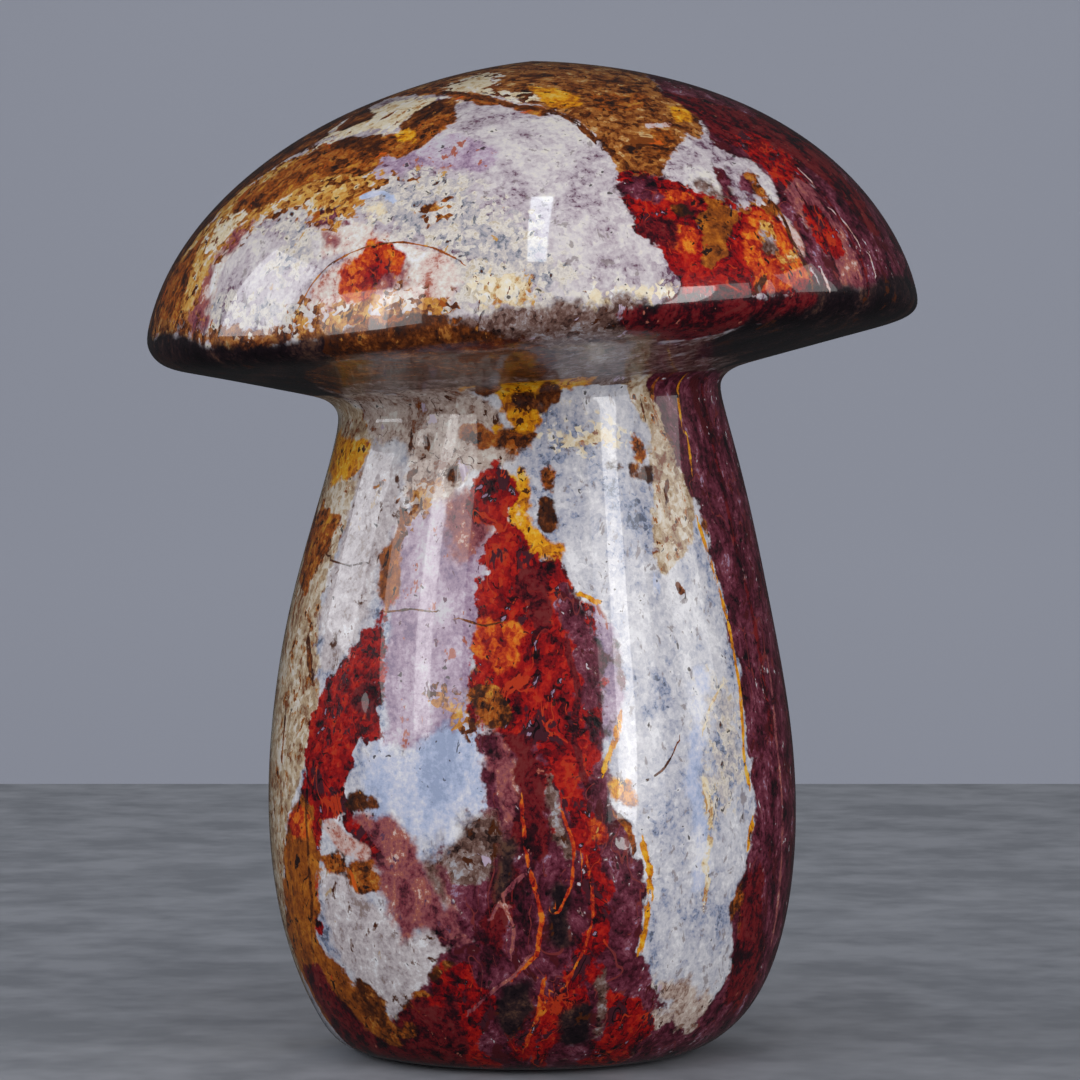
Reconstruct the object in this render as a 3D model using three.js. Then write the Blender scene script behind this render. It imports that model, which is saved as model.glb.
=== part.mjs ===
// A mushroom carved from one piece of iron agate and polished all over, standing on a small ground flat.
// Millimetres, +Z up. The origin is under the middle of the stone, on the surface that it stands on.
// The front faces -Y, and +X is the front's right.

import * as THREE from "three";
import { mergeVertices } from "three/addons/utils/BufferGeometryUtils.js";

// Driving dimensions
const HEIGHT = 120;
const CAP_RADIUS = 46.8;
const RIM_HEIGHT = 89.2;
const NECK_RADIUS = 23.1;
const NECK_HEIGHT = 78.3;
const BELLY_RADIUS = 32.1;
const BELLY_HEIGHT = 30;
const FOOT_FLAT_RADIUS = 20.4;

// The underside: a small fillet at the neck, then a shallow cone out to the rim
const FILLET_REACH = 3.4;
const FILLET_RISE = 3.2;
const CONE_RADIUS = 41;
const CONE_RISE = 6.6;

// Handles that bend the curved stretches of the outline, as radius and height
const HEEL_HANDLES = [[25.6, 0.7], [BELLY_RADIUS, 11]];
const STEM_HANDLES = [[BELLY_RADIUS, 48.5], [25.2, 69]];
const FILLET_HANDLES = [[22.9, 80.2], [24.3, 81]];
const RIM_HANDLES = [[44.5, 85.7], [CAP_RADIUS, 86.6]];
const DOME_HANDLES = [[45.4, 96.7], [36.2, 117.2]];

// What the carver's hand left uneven. The cap leans down to the left, and its underside a little more.
const CAP_LEAN = 0.0435;
const UNDERSIDE_LEAN = 0.85;
// The rim is warped: low at the front's left, high at the front's right
const RIM_WARP = 1.5;
const RIM_WARP_PHASE = THREE.MathUtils.degToRad(10);
const RIM_WARP_SPREAD = 4;
// The left shoulder of the dome is ground a little flatter
const SHOULDER = { height: 110, spread: 12, reach: 20, drop: 0.55 };
// The stem has faint upright flats
const STEM_FLATS = 5;
const STEM_FLAT_DEPTH = 0.4;
const STEM_FLAT_PHASE = THREE.MathUtils.degToRad(95);
const STEM_FLAT_START = 12;
// Sideways shifts of the stem off its axis, each strongest at its height
const SHIFTS = [
  { height: 0, spread: 3, shift: -1 },
  { height: 38, spread: 26, shift: -0.45 },
  { height: 54, spread: 12, shift: -0.35 },
  { height: 80, spread: 5, shift: -0.4 },
];

// Fineness: columns around the axis, and rows along each stretch of the outline
const COLUMNS = 96;
const FLAT_ROWS = 3;
const HEEL_ROWS = 9;
const STEM_ROWS = 12;
const FILLET_ROWS = 4;
const CONE_ROWS = 4;
const RIM_ROWS = 5;
const DOME_ROWS = 14;
const MERGE_DISTANCE = 1e-4;

// The outline of one half, from the middle of the foot to the top of the dome
function halfOutline() {
  const at = (radius, height) => new THREE.Vector2(radius, height);
  const bend = (start, handles, end) =>
    new THREE.CubicBezierCurve(start, at(...handles[0]), at(...handles[1]), end);

  const middle = at(0, 0);
  const footEdge = at(FOOT_FLAT_RADIUS, 0);
  const belly = at(BELLY_RADIUS, BELLY_HEIGHT);
  const neck = at(NECK_RADIUS, NECK_HEIGHT);
  const filletEnd = at(NECK_RADIUS + FILLET_REACH, NECK_HEIGHT + FILLET_RISE);
  const coneEdge = at(CONE_RADIUS, NECK_HEIGHT + CONE_RISE);
  const rim = at(CAP_RADIUS, RIM_HEIGHT);
  const crown = at(0, HEIGHT);

  const stretches = [
    [new THREE.LineCurve(middle, footEdge), FLAT_ROWS],
    [bend(footEdge, HEEL_HANDLES, belly), HEEL_ROWS],
    [bend(belly, STEM_HANDLES, neck), STEM_ROWS],
    [bend(neck, FILLET_HANDLES, filletEnd), FILLET_ROWS],
    [new THREE.LineCurve(filletEnd, coneEdge), CONE_ROWS],
    [bend(coneEdge, RIM_HANDLES, rim), RIM_ROWS],
    [bend(rim, DOME_HANDLES, crown), DOME_ROWS],
  ];

  const outline = [middle];
  for (const [curve, rows] of stretches) {
    outline.push(...curve.getSpacedPoints(rows).slice(1));
  }
  return outline;
}

// A bell curve: 1 at the middle, falling away over the spread
const bell = (value, middle, spread) => Math.exp(-(((value - middle) / spread) ** 2));

// How far the stem's flats pull a point of the surface inwards
function stemFlat(around, height, onCap) {
  const onStem = THREE.MathUtils.smoothstep(height, 0, STEM_FLAT_START) * (1 - onCap);
  return -STEM_FLAT_DEPTH * onStem * Math.cos(STEM_FLATS * around + STEM_FLAT_PHASE);
}

// How far the leans, the warp and the flatter shoulder raise a point of the cap
function capRise(point, around, onCap) {
  const height = point.z;
  const outward = Math.hypot(point.x, point.y) / CAP_RADIUS;
  const underRim = 1 - THREE.MathUtils.smoothstep(height, RIM_HEIGHT - 4, RIM_HEIGHT);
  const leftward = THREE.MathUtils.smoothstep(-point.x, 0, SHOULDER.reach);

  const lean = CAP_LEAN * point.x * onCap;
  const undersideLean = UNDERSIDE_LEAN * Math.sin(around) * onCap * underRim;
  const warp = RIM_WARP * Math.sin(2 * around + RIM_WARP_PHASE) * outward ** 4;
  const shoulder = -SHOULDER.drop * leftward * bell(height, SHOULDER.height, SHOULDER.spread);
  return lean + undersideLean + warp * bell(height, RIM_HEIGHT, RIM_WARP_SPREAD) + shoulder;
}

// Moves a point of the turned form to where the hand-carved stone has it
function carve(point) {
  const radius = Math.hypot(point.x, point.y);
  const around = Math.atan2(point.x, -point.y);
  const height = point.z;
  const onCap = THREE.MathUtils.smoothstep(height, NECK_HEIGHT - 7, NECK_HEIGHT + 1);

  const rise = capRise(point, around, onCap);
  const scale = radius > 0 ? 1 + stemFlat(around, height, onCap) / radius : 1;
  point.x *= scale;
  point.y *= scale;
  point.z += rise;
  for (const { height: middle, spread, shift } of SHIFTS) {
    point.x += shift * bell(height, middle, spread);
  }
}

// The whole stone: the outline turned about +Z, its seam and poles closed, then carved
function stoneGeometry() {
  const turned = new THREE.LatheGeometry(halfOutline(), COLUMNS);
  turned.rotateX(Math.PI / 2);
  turned.deleteAttribute("normal");
  turned.deleteAttribute("uv");
  const geometry = mergeVertices(turned, MERGE_DISTANCE);

  const places = geometry.getAttribute("position");
  const point = new THREE.Vector3();
  for (let index = 0; index < places.count; index += 1) {
    point.fromBufferAttribute(places, index);
    carve(point);
    places.setXYZ(index, point.x, point.y, point.z);
  }
  geometry.computeVertexNormals();
  return geometry;
}

const polishedAgate = new THREE.MeshStandardMaterial({ color: "#8f5a50", roughness: 0.12, metalness: 0 });

const stone = new THREE.Mesh(stoneGeometry(), polishedAgate);
stone.name = "agate_mushroom";

const mushroom = new THREE.Group();
mushroom.add(stone);

export default mushroom;
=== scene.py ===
"""A polished iron agate mushroom on a pale table: the stone's fine surface, its minerals and the studio."""

from math import cos, pi, radians, sin

import bmesh
import bpy
import numpy as np
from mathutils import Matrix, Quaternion, Vector
from mathutils.bvhtree import BVHTree


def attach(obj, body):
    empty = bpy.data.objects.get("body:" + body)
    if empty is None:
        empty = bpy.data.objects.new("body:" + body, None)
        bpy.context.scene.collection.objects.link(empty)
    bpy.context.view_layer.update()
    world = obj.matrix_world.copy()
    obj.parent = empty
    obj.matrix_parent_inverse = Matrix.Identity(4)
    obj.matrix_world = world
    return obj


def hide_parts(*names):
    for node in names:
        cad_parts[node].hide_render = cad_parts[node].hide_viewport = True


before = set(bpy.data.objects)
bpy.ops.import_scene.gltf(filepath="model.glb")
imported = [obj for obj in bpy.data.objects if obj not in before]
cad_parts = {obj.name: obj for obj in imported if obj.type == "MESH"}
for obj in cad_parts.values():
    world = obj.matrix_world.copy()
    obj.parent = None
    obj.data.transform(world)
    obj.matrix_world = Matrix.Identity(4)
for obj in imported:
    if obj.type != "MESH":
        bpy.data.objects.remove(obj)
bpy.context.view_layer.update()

# Places are in metres. Charts, outlines and mineral sizes are in millimetres.
MM = 0.001

# Camera, matched to the photograph's 1080 x 1080 frame
FRAME_PIXELS = 1080
CAMERA_PLACE = Vector((0.0009, -0.580, 0.0866))
CAMERA_TILT = radians(2.432)
FOCAL_PIXELS = 4778
SENSOR_WIDTH = 36

# Forms of the stone that its charts follow
CAP_LEAN = 0.0435
DOME_CENTRE = 73
DOME_RADIUS = 48
UNDERSIDE_RADIUS = 44.3
UNDERSIDE_TOP = 88
NECK_TOP = 80.6
NECK_RADIUS = 25.6
STEM_RADIUS = 29
FOOT_RADIUS = 21
FOOT_FLAT_TOP = 1
# Below this height there is only stem, and the whole stone is narrower than this radius
ONLY_STEM_BELOW = 76
WIDEST = 99
PIXELS_PER_MM = 8.24

STONE_MIDDLE = Vector((0, 0, 0.07))

CAP, STEM = "cap", "stem"


def turn(azimuth, along):
    """A place that the photograph doesn't show: degrees from the front, and mm from the crown or mm high."""
    return ("turn", azimuth, along)


# Mineral patches, and patches of painted shade and a painted reflection where their comments say so: what it
# is, the mineral and the outline, in the photograph's pixels where it shows them
CAP_PATCHES = [
    # Taupe all round the cap's underside: partly the stone's colour, mostly painted shade under the cap
    ("underside", "taupe", [turn(-100, 66), turn(-70, 66), turn(-40, 66), turn(-10, 66), turn(20, 66),
        turn(50, 66), turn(80, 66), turn(110, 66), turn(110, 106), turn(60, 106), turn(0, 106),
        turn(-60, 106), turn(-100, 106)]),
    ("crown", "tan", [(444, 90), (470, 92), (536, 105), (562, 114), (584, 128), (630, 182), (650, 176),
        (668, 180), (680, 134), (700, 140), (704, 118), (692, 98), (664, 95), turn(78, 14), turn(160, 12),
        turn(-150, 14), turn(-80, 22)]),
    ("crown streak", "cream", [(436, 95), (452, 85), (482, 74), (500, 76), (488, 95), (505, 92), (545, 101),
        (520, 102), (465, 94)]),
    ("crown gold", "honey", [(530, 88), (552, 88), (578, 95), (580, 104), (560, 108), (540, 102)]),
    ("crown yellow", "honey", [(664, 106), (680, 104), (692, 114), (690, 122), (676, 120)]),
    ("crown brown", "rust", [(648, 130), (676, 130), (676, 146), (664, 156), (650, 150)]),
    ("crown dark", "rust", [(588, 96), (612, 92), (650, 98), (646, 110), (596, 110)]),
    # A dark brown band along the dome's upper-left edge as the camera sees it: partly brown stone, partly
    # painted shade at the grazing edge
    ("dark left edge", "umber", [(405, 92), (352, 116), (332, 134), (246, 190), (226, 208), (180, 276),
        (172, 300), (168, 330), turn(-96, 63), turn(-104, 44), turn(-118, 26), turn(-150, 18),
        turn(-80, 22)]),
    ("golden grains", "ochre", [(204, 338), (186, 330), (172, 318), (166, 296), (176, 270), (206, 226),
        (250, 184), (304, 152), (340, 144), (378, 156), (372, 170), (388, 182), (416, 184), (424, 194),
        (404, 198), (378, 196), (334, 224), (316, 222), (304, 210), (256, 222), (238, 242), (218, 256),
        (206, 276), (202, 300), (210, 322)]),
    ("brown shoulder", "rust", [(290, 164), (318, 148), (398, 134), (436, 104), (456, 100), (456, 122),
        (418, 150), (392, 158), (370, 172), (312, 182), (290, 196), (246, 214), (228, 228), (234, 206)]),
    ("brown left side", "rust", [(158, 334), (160, 304), (172, 274), (208, 232), (182, 306), (184, 334),
        turn(-94, 60)]),
    ("left lip", "tan", [(148, 324), (168, 318), (206, 326), (260, 332), (340, 326), (344, 352), (250, 366),
        (152, 352), turn(-96, 63)]),
    ("red streaks", "rose", [(246, 228), (240, 244), (222, 268), (212, 290), (202, 326), (194, 330),
        (196, 304), (204, 280), (230, 240)]),
    ("pink between them", "blush", [(222, 256), (234, 250), (214, 296), (206, 300), (212, 274)]),
    ("cream shoulder", "cream", [(406, 98), (436, 97), (452, 100), (420, 114), (406, 126), (388, 132),
        (362, 131), (326, 144), (332, 130), (354, 115)]),
    ("shoulder spot", "umber", [(336, 128), (360, 110), (376, 108), (374, 118), (340, 133)]),
    ("shoulder edge", "umber", [(400, 126), (406, 117), (444, 97), (457, 101), (456, 112), (420, 121),
        (414, 129), (403, 131)]),
    ("shoulder dark", "umber", [(326, 146), (344, 138), (384, 134), (380, 146), (356, 152)]),
    ("shoulder gold", "honey", [(398, 132), (410, 127), (420, 131), (418, 142), (404, 141)]),
    ("cream glints", "cream", [(206, 242), (222, 222), (240, 212), (250, 214), (222, 246), (212, 248)]),
    ("granular middle", "grit", [(372, 186), (392, 176), (430, 172), (472, 180), (486, 204), (512, 214),
        (538, 232), (574, 290), (560, 304), (520, 312), (480, 312), (452, 308), (456, 270), (440, 250),
        (404, 240), (388, 226), (344, 214), (362, 200)]),
    ("granular left", "grit", [(206, 318), (214, 296), (240, 304), (270, 300), (300, 304), (290, 321),
        (250, 325)]),
    ("speckled left", "grit", [(262, 224), (292, 212), (316, 224), (318, 250), (304, 268), (282, 280),
        (268, 262), (284, 244)]),
    ("lavender middle", "mauve", [(378, 158), (412, 152), (446, 136), (482, 140), (500, 156), (482, 172),
        (450, 168), (388, 174)]),
    ("pale oval", "blush", [(304, 308), (314, 284), (330, 266), (372, 246), (402, 243), (432, 249),
        (452, 260), (460, 282), (452, 304), (400, 304), (345, 310)]),
    ("pink wash", "blush", [(318, 224), (344, 222), (368, 226), (400, 240), (366, 246), (318, 262)]),
    ("orange eye", "orange", [(336, 297), (341, 272), (355, 254), (372, 242), (393, 241), (406, 254),
        (402, 277), (378, 298), (356, 302)]),
    ("red pupil", "red", [(360, 286), (364, 274), (382, 257), (389, 261), (387, 270), (370, 285)]),
    ("rose beside the eye", "rose", [(388, 276), (406, 268), (410, 284), (396, 290), (376, 292)]),
    ("purple spot", "plum", [(320, 224), (334, 216), (346, 222), (338, 230), (326, 230)]),
    ("rose below the spot", "rose", [(318, 228), (338, 231), (336, 244), (322, 248)]),
    ("cream lumps", "cream", [(470, 274), (486, 266), (528, 278), (530, 300), (505, 310), (480, 306),
        (468, 292)]),
    ("cream spot", "cream", [(366, 212), (378, 206), (386, 220), (376, 228)]),
    ("yellow spot", "ochre", [(424, 208), (436, 202), (446, 214), (436, 224), (426, 218)]),
    ("orange lip", "ochre", [(284, 320), (296, 309), (330, 309), (446, 299), (456, 311), (420, 324),
        (340, 333), (300, 334)]),
    ("beige lip", "cream", [(578, 302), (602, 289), (674, 289), (674, 300), (606, 308)]),
    ("breccia", "red", [(616, 186), (623, 177), (642, 173), (738, 209), (772, 208), (806, 262), (818, 294),
        (800, 300), (748, 304), (672, 304), (676, 286), (668, 266), (634, 222)]),
    ("breccia plum", "plum", [(616, 186), (640, 174), (662, 184), (664, 198), (640, 204), (626, 202)]),
    ("breccia dark", "maroon", [(638, 220), (656, 216), (676, 226), (680, 244), (662, 250), (650, 244)]),
    ("breccia glow", "orange", [(662, 196), (678, 188), (694, 196), (702, 206), (690, 210), (674, 206)]),
    ("breccia ember", "orange", [(672, 232), (690, 226), (700, 238), (692, 250), (676, 248)]),
    ("breccia crust", "ginger", [(700, 210), (724, 204), (764, 208), (756, 218), (736, 224), (724, 240),
        (728, 258), (712, 268), (700, 256), (704, 240), (698, 226)]),
    ("breccia fire", "orange", [(744, 228), (756, 218), (772, 213), (790, 244), (804, 258), (808, 276),
        (790, 290), (768, 296), (748, 294), (752, 276), (746, 262)]),
    ("breccia yellow", "ochre", [(760, 218), (776, 221), (780, 236), (768, 240), (758, 232)]),
    ("breccia grey", "taupe", [(752, 246), (766, 242), (778, 250), (770, 256), (756, 254)]),
    ("breccia sand", "ochre", [(776, 254), (796, 252), (798, 264), (780, 270)]),
    ("dark side", "plum", [(664, 95), (692, 98), (704, 118), (712, 146), (762, 168), (778, 196), (796, 242),
        (810, 262), (820, 300), (870, 296), (914, 300), turn(95, 64), turn(120, 68), turn(150, 62),
        turn(158, 34), turn(120, 12), turn(78, 14)]),
    ("back red", "red", [turn(150, 40), turn(168, 44), turn(190, 38), turn(200, 52), turn(186, 62),
        turn(160, 60), turn(142, 54)]),
    ("back gold", "ochre", [turn(186, 20), turn(214, 22), turn(236, 34), turn(238, 52), turn(222, 60),
        turn(206, 48), turn(190, 34)]),
    ("back cream", "cream", [turn(214, 30), turn(226, 36), turn(228, 50), turn(216, 46), turn(206, 36)]),
    ("back lavender", "mauve", [turn(172, 22), turn(186, 26), turn(192, 38), turn(176, 42), turn(160, 36),
        turn(160, 26)]),
    ("back ember", "orange", [turn(170, 48), turn(180, 46), turn(184, 54), turn(174, 58)]),
    # Taupe under the back of the cap: painted shade under the cap, as at the front
    ("back underside", "taupe", [turn(130, 66), turn(180, 64), turn(230, 64), turn(236, 95), turn(180, 95),
        turn(126, 95)]),
    ("wine shoulder", "maroon", [(656, 90), (742, 112), (780, 132), (810, 156), (800, 172), (772, 164),
        (745, 150), (716, 140), (700, 120)]),
    ("red shoulder", "red", [(738, 130), (762, 138), (790, 156), (806, 176), (798, 190), (780, 188),
        (768, 172), (732, 142)]),
    ("salmon band", "rose", [(792, 174), (808, 184), (840, 228), (856, 258), (864, 288), (846, 294),
        (800, 214), (784, 194)]),
    ("salmon heart", "red", [(800, 206), (818, 204), (836, 230), (848, 258), (836, 262), (818, 240)]),
    ("brown side streak", "maroon", [(752, 110), (782, 122), (812, 144), (842, 174), (866, 206), (884, 240),
        (866, 228), (812, 170), (762, 132)]),
    # The cap's underside seen from the front, darkened as painted shade: the blue-black patches under the
    # left and right lip are painted shade only; the brown, grey and wine patches are the stone's colours
    # darkened by painted shade
    ("painted shade under the left lip", "night", [(146, 330), (152, 338), (206, 346), (252, 348), (300, 337), (340, 333),
        (346, 350), (346, 372), (340, 396), turn(-50, 95), turn(-120, 95), turn(-120, 58), turn(-98, 61)]),
    ("brown underside", "umber", [(330, 334), (450, 318), (500, 322), (545, 330), (560, 360), (540, 380),
        (420, 382), (346, 396), (340, 362)]),
    ("grey underside", "taupe", [(446, 322), (500, 312), (600, 304), (650, 304), (656, 312), (650, 334),
        (664, 345), (700, 348), (690, 362), (600, 378), (560, 372), (545, 345)]),
    ("wine underside", "maroon", [(610, 322), (670, 298), (772, 298), (760, 316), (690, 340), (660, 342)]),
    ("painted shade under the right lip", "night", [(760, 302), (860, 290), (916, 290), turn(95, 61), turn(125, 60),
        turn(122, 95), turn(45, 95), (716, 372), (690, 360), (700, 346), (740, 326)]),
]

STEM_PATCHES = [
    ("left column", "bark", [(345, 400), (374, 440), (324, 590), (316, 640), (318, 690), (312, 745),
        (290, 812), (286, 900), (298, 945), turn(-78, 6), turn(-104, 0), turn(-122, 40), turn(-112, 79),
        turn(-70, 82)]),
    ("column gold", "honey", [(338, 432), (372, 442), (366, 464), (350, 482), (330, 484), (324, 470)]),
    ("column rust", "rust", [(324, 500), (342, 510), (334, 540), (306, 590), (300, 580), (306, 545)]),
    ("gold stripe", "ginger", [(398, 505), (408, 520), (400, 590), (386, 612), (380, 596), (382, 556)]),
    ("neck", "fawn", [(340, 398), (400, 382), (442, 378), (476, 388), (500, 424), (524, 446), (520, 462),
        (470, 474), (456, 500), (408, 518), (406, 462), (396, 444), (372, 438)]),
    ("neck smear", "rust", [(462, 424), (536, 432), (530, 446), (508, 452), (462, 434)]),
    ("neck gold", "honey", [(450, 377), (476, 380), (520, 368), (560, 364), (606, 368), (592, 384),
        (566, 392), (548, 404), (540, 424), (524, 432), (506, 424), (502, 400), (486, 386), (462, 390)]),
    # Lavender laid where the left softbox's reflection falls on the stem: a painted reflection, which the
    # left panel light's own highlight adds to
    ("painted panel reflection", "mauve", [(408, 522), (456, 496), (478, 500), (496, 514), (484, 610), (462, 722),
        (404, 752), (386, 748), (384, 660)]),
    ("window milk", "haze", [(376, 440), (404, 470), (400, 520), (380, 560), (372, 612), (350, 650),
        (326, 672), (320, 620), (352, 505)]),
    ("panel blush", "rose", [(446, 500), (468, 494), (492, 510), (488, 545), (470, 572), (452, 560)]),
    ("wine ground", "plum", [(470, 735), (500, 728), (540, 700), (584, 604), (602, 612), (618, 645),
        (624, 688), (606, 760), (612, 800), (642, 870), (640, 950), (656, 1052), turn(16, -12),
        turn(-45, -12), turn(-40, 0), (400, 1045), (410, 1000), (440, 930), (440, 890), (430, 862),
        (450, 826), (482, 796)]),
    ("violet flank", "mauve", [(588, 606), (604, 616), (618, 650), (622, 688), (608, 720), (600, 690),
        (598, 650)]),
    ("red tongue", "red", [(468, 512), (466, 488), (480, 472), (500, 466), (516, 472), (524, 490), (520, 514),
        (532, 540), (552, 556), (582, 602), (604, 660), (602, 700), (590, 730), (596, 760), (580, 790),
        (560, 800), (530, 735), (478, 728), (468, 700), (470, 660), (492, 530)]),
    ("tongue shade", "plum", [(560, 575), (580, 598), (598, 640), (604, 690), (592, 735), (580, 700),
        (574, 650), (558, 612)]),
    ("tongue glow", "orange", [(470, 630), (484, 612), (504, 614), (522, 634), (512, 646), (520, 664),
        (500, 672), (472, 652)]),
    ("tongue dark", "maroon", [(520, 560), (545, 575), (556, 610), (540, 640), (512, 585)]),
    ("red left", "red", [(388, 606), (382, 738), (360, 742), (340, 812), (322, 822), (318, 930), (300, 930),
        (298, 860), (316, 700), (376, 616)]),
    ("left ember", "red", [(318, 712), (344, 704), (350, 740), (338, 784), (316, 800), (310, 770)]),
    ("foot red left", "red", [(470, 985), (490, 985), (500, 1000), (480, 1045), (500, 1062), turn(-8, -6),
        turn(-24, -6), (430, 1040)]),
    ("foot red middle", "red", [(530, 1050), (592, 966), (602, 985), (592, 1005), (548, 1055), turn(2, -6),
        turn(-4, -6)]),
    ("foot red right", "red", [(606, 990), (640, 1000), (655, 1030), (652, 1058), turn(14, -6), turn(8, -6),
        (594, 1050), (592, 1036)]),
    ("left maroon", "maroon", [(346, 690), (362, 676), (380, 680), (380, 712), (366, 718), (350, 708)]),
    ("wine deep", "maroon", [(500, 735), (530, 740), (545, 770), (550, 820), (548, 860), (520, 850),
        (505, 830)]),
    ("wine fold", "maroon", [(500, 850), (520, 870), (515, 920), (500, 960), (480, 940)]),
    ("foot dark left", "maroon", [(372, 1040), (425, 990), (452, 996), (470, 1050), turn(-28, -6),
        turn(-42, -6)]),
    ("wine streak rose", "rose", [(500, 730), (516, 760), (520, 800), (508, 840), (490, 760)]),
    ("speckled white", "haze", [(322, 868), (345, 862), (400, 934), (416, 938), (428, 918), (446, 944),
        (424, 990), (406, 1004), (396, 1024), (384, 1006), (370, 1000), (330, 945)]),
    ("sill specks", "umber", [(428, 974), (444, 960), (464, 966), (458, 984), (438, 990)]),
    ("crimson sill", "red", [(440, 970), (462, 962), (474, 975), (462, 996), (440, 1010), (426, 1000)]),
    ("foot night", "night", [(560, 1015), (590, 1000), (600, 1020), (590, 1040), (560, 1050)]),
    ("foot dusk", "night", [(500, 985), (530, 975), (535, 1010), (510, 1040), (495, 1020)]),
    ("rust under the panel", "rust", [(470, 690), (490, 680), (510, 698), (506, 726), (480, 730),
        (466, 712)]),
    ("orange flank", "ginger", [(302, 796), (288, 814), (284, 900), (290, 940), (320, 1010), (345, 1042),
        turn(-60, -8), turn(-38, -8), (396, 1050), (348, 972), (328, 958), (316, 935), (318, 880),
        (312, 815)]),
    ("ember flank", "maroon", [(300, 960), (318, 968), (372, 1034), (430, 1052), turn(-30, -6),
        turn(-64, -6)]),
    ("flank crust", "rust", [(350, 985), (366, 990), (402, 1032), (422, 1006), (416, 1030), (396, 1046),
        (366, 1026)]),
    ("white's brown foot", "umber", [(356, 976), (372, 984), (388, 1004), (384, 1026), (368, 1016),
        (354, 998)]),
    ("orange flare", "orange", [(300, 800), (312, 812), (308, 840), (292, 846), (288, 824)]),
    ("rose sweep", "rose", [(344, 816), (366, 812), (392, 816), (430, 866), (470, 945), (445, 940),
        (430, 925), (405, 940), (380, 895), (372, 862)]),
    ("dark knot", "umber", [(342, 802), (356, 790), (374, 796), (384, 810), (346, 812)]),
    ("blue cloud", "blue", [(360, 752), (384, 744), (404, 752), (448, 722), (468, 736), (480, 796),
        (432, 838), (412, 842), (402, 822), (370, 790)]),
    ("olive crust", "rust", [(322, 862), (336, 850), (346, 866), (366, 860), (382, 870), (378, 890),
        (362, 898)]),
    ("brown boulder", "taupe", [(456, 820), (500, 806), (502, 850), (490, 878), (474, 892), (450, 886),
        (440, 862)]),
    ("blue vein", "blue", [(692, 672), (704, 668), (712, 682), (704, 700), (700, 770), (710, 830), (704, 890),
        (692, 896), (690, 870), (696, 840), (684, 770), (694, 700)]),
    ("beige lens", "cream", [(550, 434), (570, 424), (600, 420), (626, 430), (620, 442), (590, 450),
        (560, 448)]),
    ("beige strip", "bark", [(632, 378), (676, 374), (696, 520), (688, 560), (664, 572), (652, 540),
        (656, 500), (650, 450)]),
    ("grey lumps", "grit", [(706, 694), (724, 684), (738, 700), (742, 750), (736, 800), (718, 806)]),
    ("foot beige", "fawn", [(650, 988), (676, 980), (712, 986), (708, 1004), (656, 1006)]),
    ("foot fawn", "fawn", [(652, 1002), (690, 1004), (712, 996), (696, 1050), turn(34, -4), turn(20, -4),
        (654, 1030)]),
    ("foot wine", "plum", [(656, 1030), (672, 1020), (688, 1030), (708, 1010), (722, 984), (742, 980),
        (734, 1024), (716, 1050), turn(48, -6), turn(16, -6)]),
    ("wine right side", "plum", [(680, 362), (716, 368), turn(85, 82), turn(110, 82), turn(128, 40),
        turn(120, -8), turn(34, -8), (702, 1048), (728, 915), (754, 825), (742, 690), (696, 500)]),
    ("back lavender", "mauve", [turn(150, 78), turn(176, 70), turn(182, 54), turn(172, 40), turn(158, 46),
        turn(148, 60)]),
    ("back red", "red", [turn(186, 52), turn(204, 60), turn(214, 44), turn(210, 22), turn(198, 8),
        turn(186, 16), turn(182, 34)]),
    ("back wine", "plum", [turn(134, 30), turn(160, 34), turn(188, 18), turn(204, 6), turn(204, -8),
        turn(130, -8)]),
    ("back gold", "rust", [turn(214, 30), turn(232, 26), turn(240, 4), turn(236, -8), turn(210, -8),
        turn(208, 12)]),
    ("back blue", "blue", [turn(198, 74), turn(214, 70), turn(216, 58), turn(202, 62)]),
    # A taupe band just under the cap at the back: painted shade under the cap's overhang
    ("back neck", "taupe", [turn(112, 82), turn(180, 82), turn(246, 82), turn(240, 74), turn(210, 77),
        turn(176, 75), turn(140, 77)]),
    ("right fold", "maroon", [(742, 880), (760, 860), (764, 920), (758, 980), (735, 1010), (722, 1000)]),
]

# Veins, rims and flecks: the mineral, the width in pixels and the route
CAP_STROKES = [
    ("umber", 6, [(384, 118), (392, 113)]),
    ("rust", 14, [(398, 95), (424, 92), (452, 95), (482, 99), (512, 107), (540, 111)]),
    ("umber", 8, [(398, 95), (424, 92), (482, 98), (512, 106), (558, 113), (578, 124), (594, 140),
        (624, 163)]),
    ("umber", 7, [(505, 78), (530, 76), (552, 76)]),
    ("umber", 4, [(562, 90), (574, 92)]),
    ("umber", 5, [(575, 110), (600, 104), (620, 106)]),
    ("umber", 4, [(600, 120), (625, 124)]),
    ("umber", 4, [(596, 80), (640, 84)]),
    ("plum", 10, [(718, 172), (726, 184), (730, 200)]),
    ("plum", 9, [(738, 190), (750, 180)]),
    ("taupe", 10, [(700, 186), (716, 194)]),
    ("rust", 10, [(752, 176), (764, 196)]),
    ("umber", 9, [(678, 211), (688, 211)]),
    ("umber", 8, [(756, 290), (764, 280)]),
    ("maroon", 12, [(740, 303), (775, 303), (812, 300)]),
    ("pale", 9, [(786, 224), (796, 236), (800, 248)]),
    ("pale", 3, [(832, 210), (846, 224), (858, 242)]),
    ("pale", 3, [(802, 172), (812, 182)]),
    ("pale", 3, [(870, 256), (875, 274)]),
    ("pale", 4, [(822, 272), (828, 286)]),
    ("maroon", 5, [(820, 190), (842, 222), (862, 262), (868, 290)]),
    ("maroon", 4, [(796, 188), (816, 222), (836, 268)]),
    ("umber", 5, [(776, 206), (786, 222), (790, 238), (802, 256), (812, 284)]),
    ("pale", 8, [(650, 126), (668, 125)]),
    ("rust", 2, [(300, 306), (312, 284), (328, 266), (348, 254), (372, 245), (402, 242), (434, 248),
        (462, 262)]),
    ("rust", 8, [(350, 320), (380, 320), (400, 318)]),
    ("blue", 8, [(364, 196), (384, 192), (392, 200)]),
]

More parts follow.
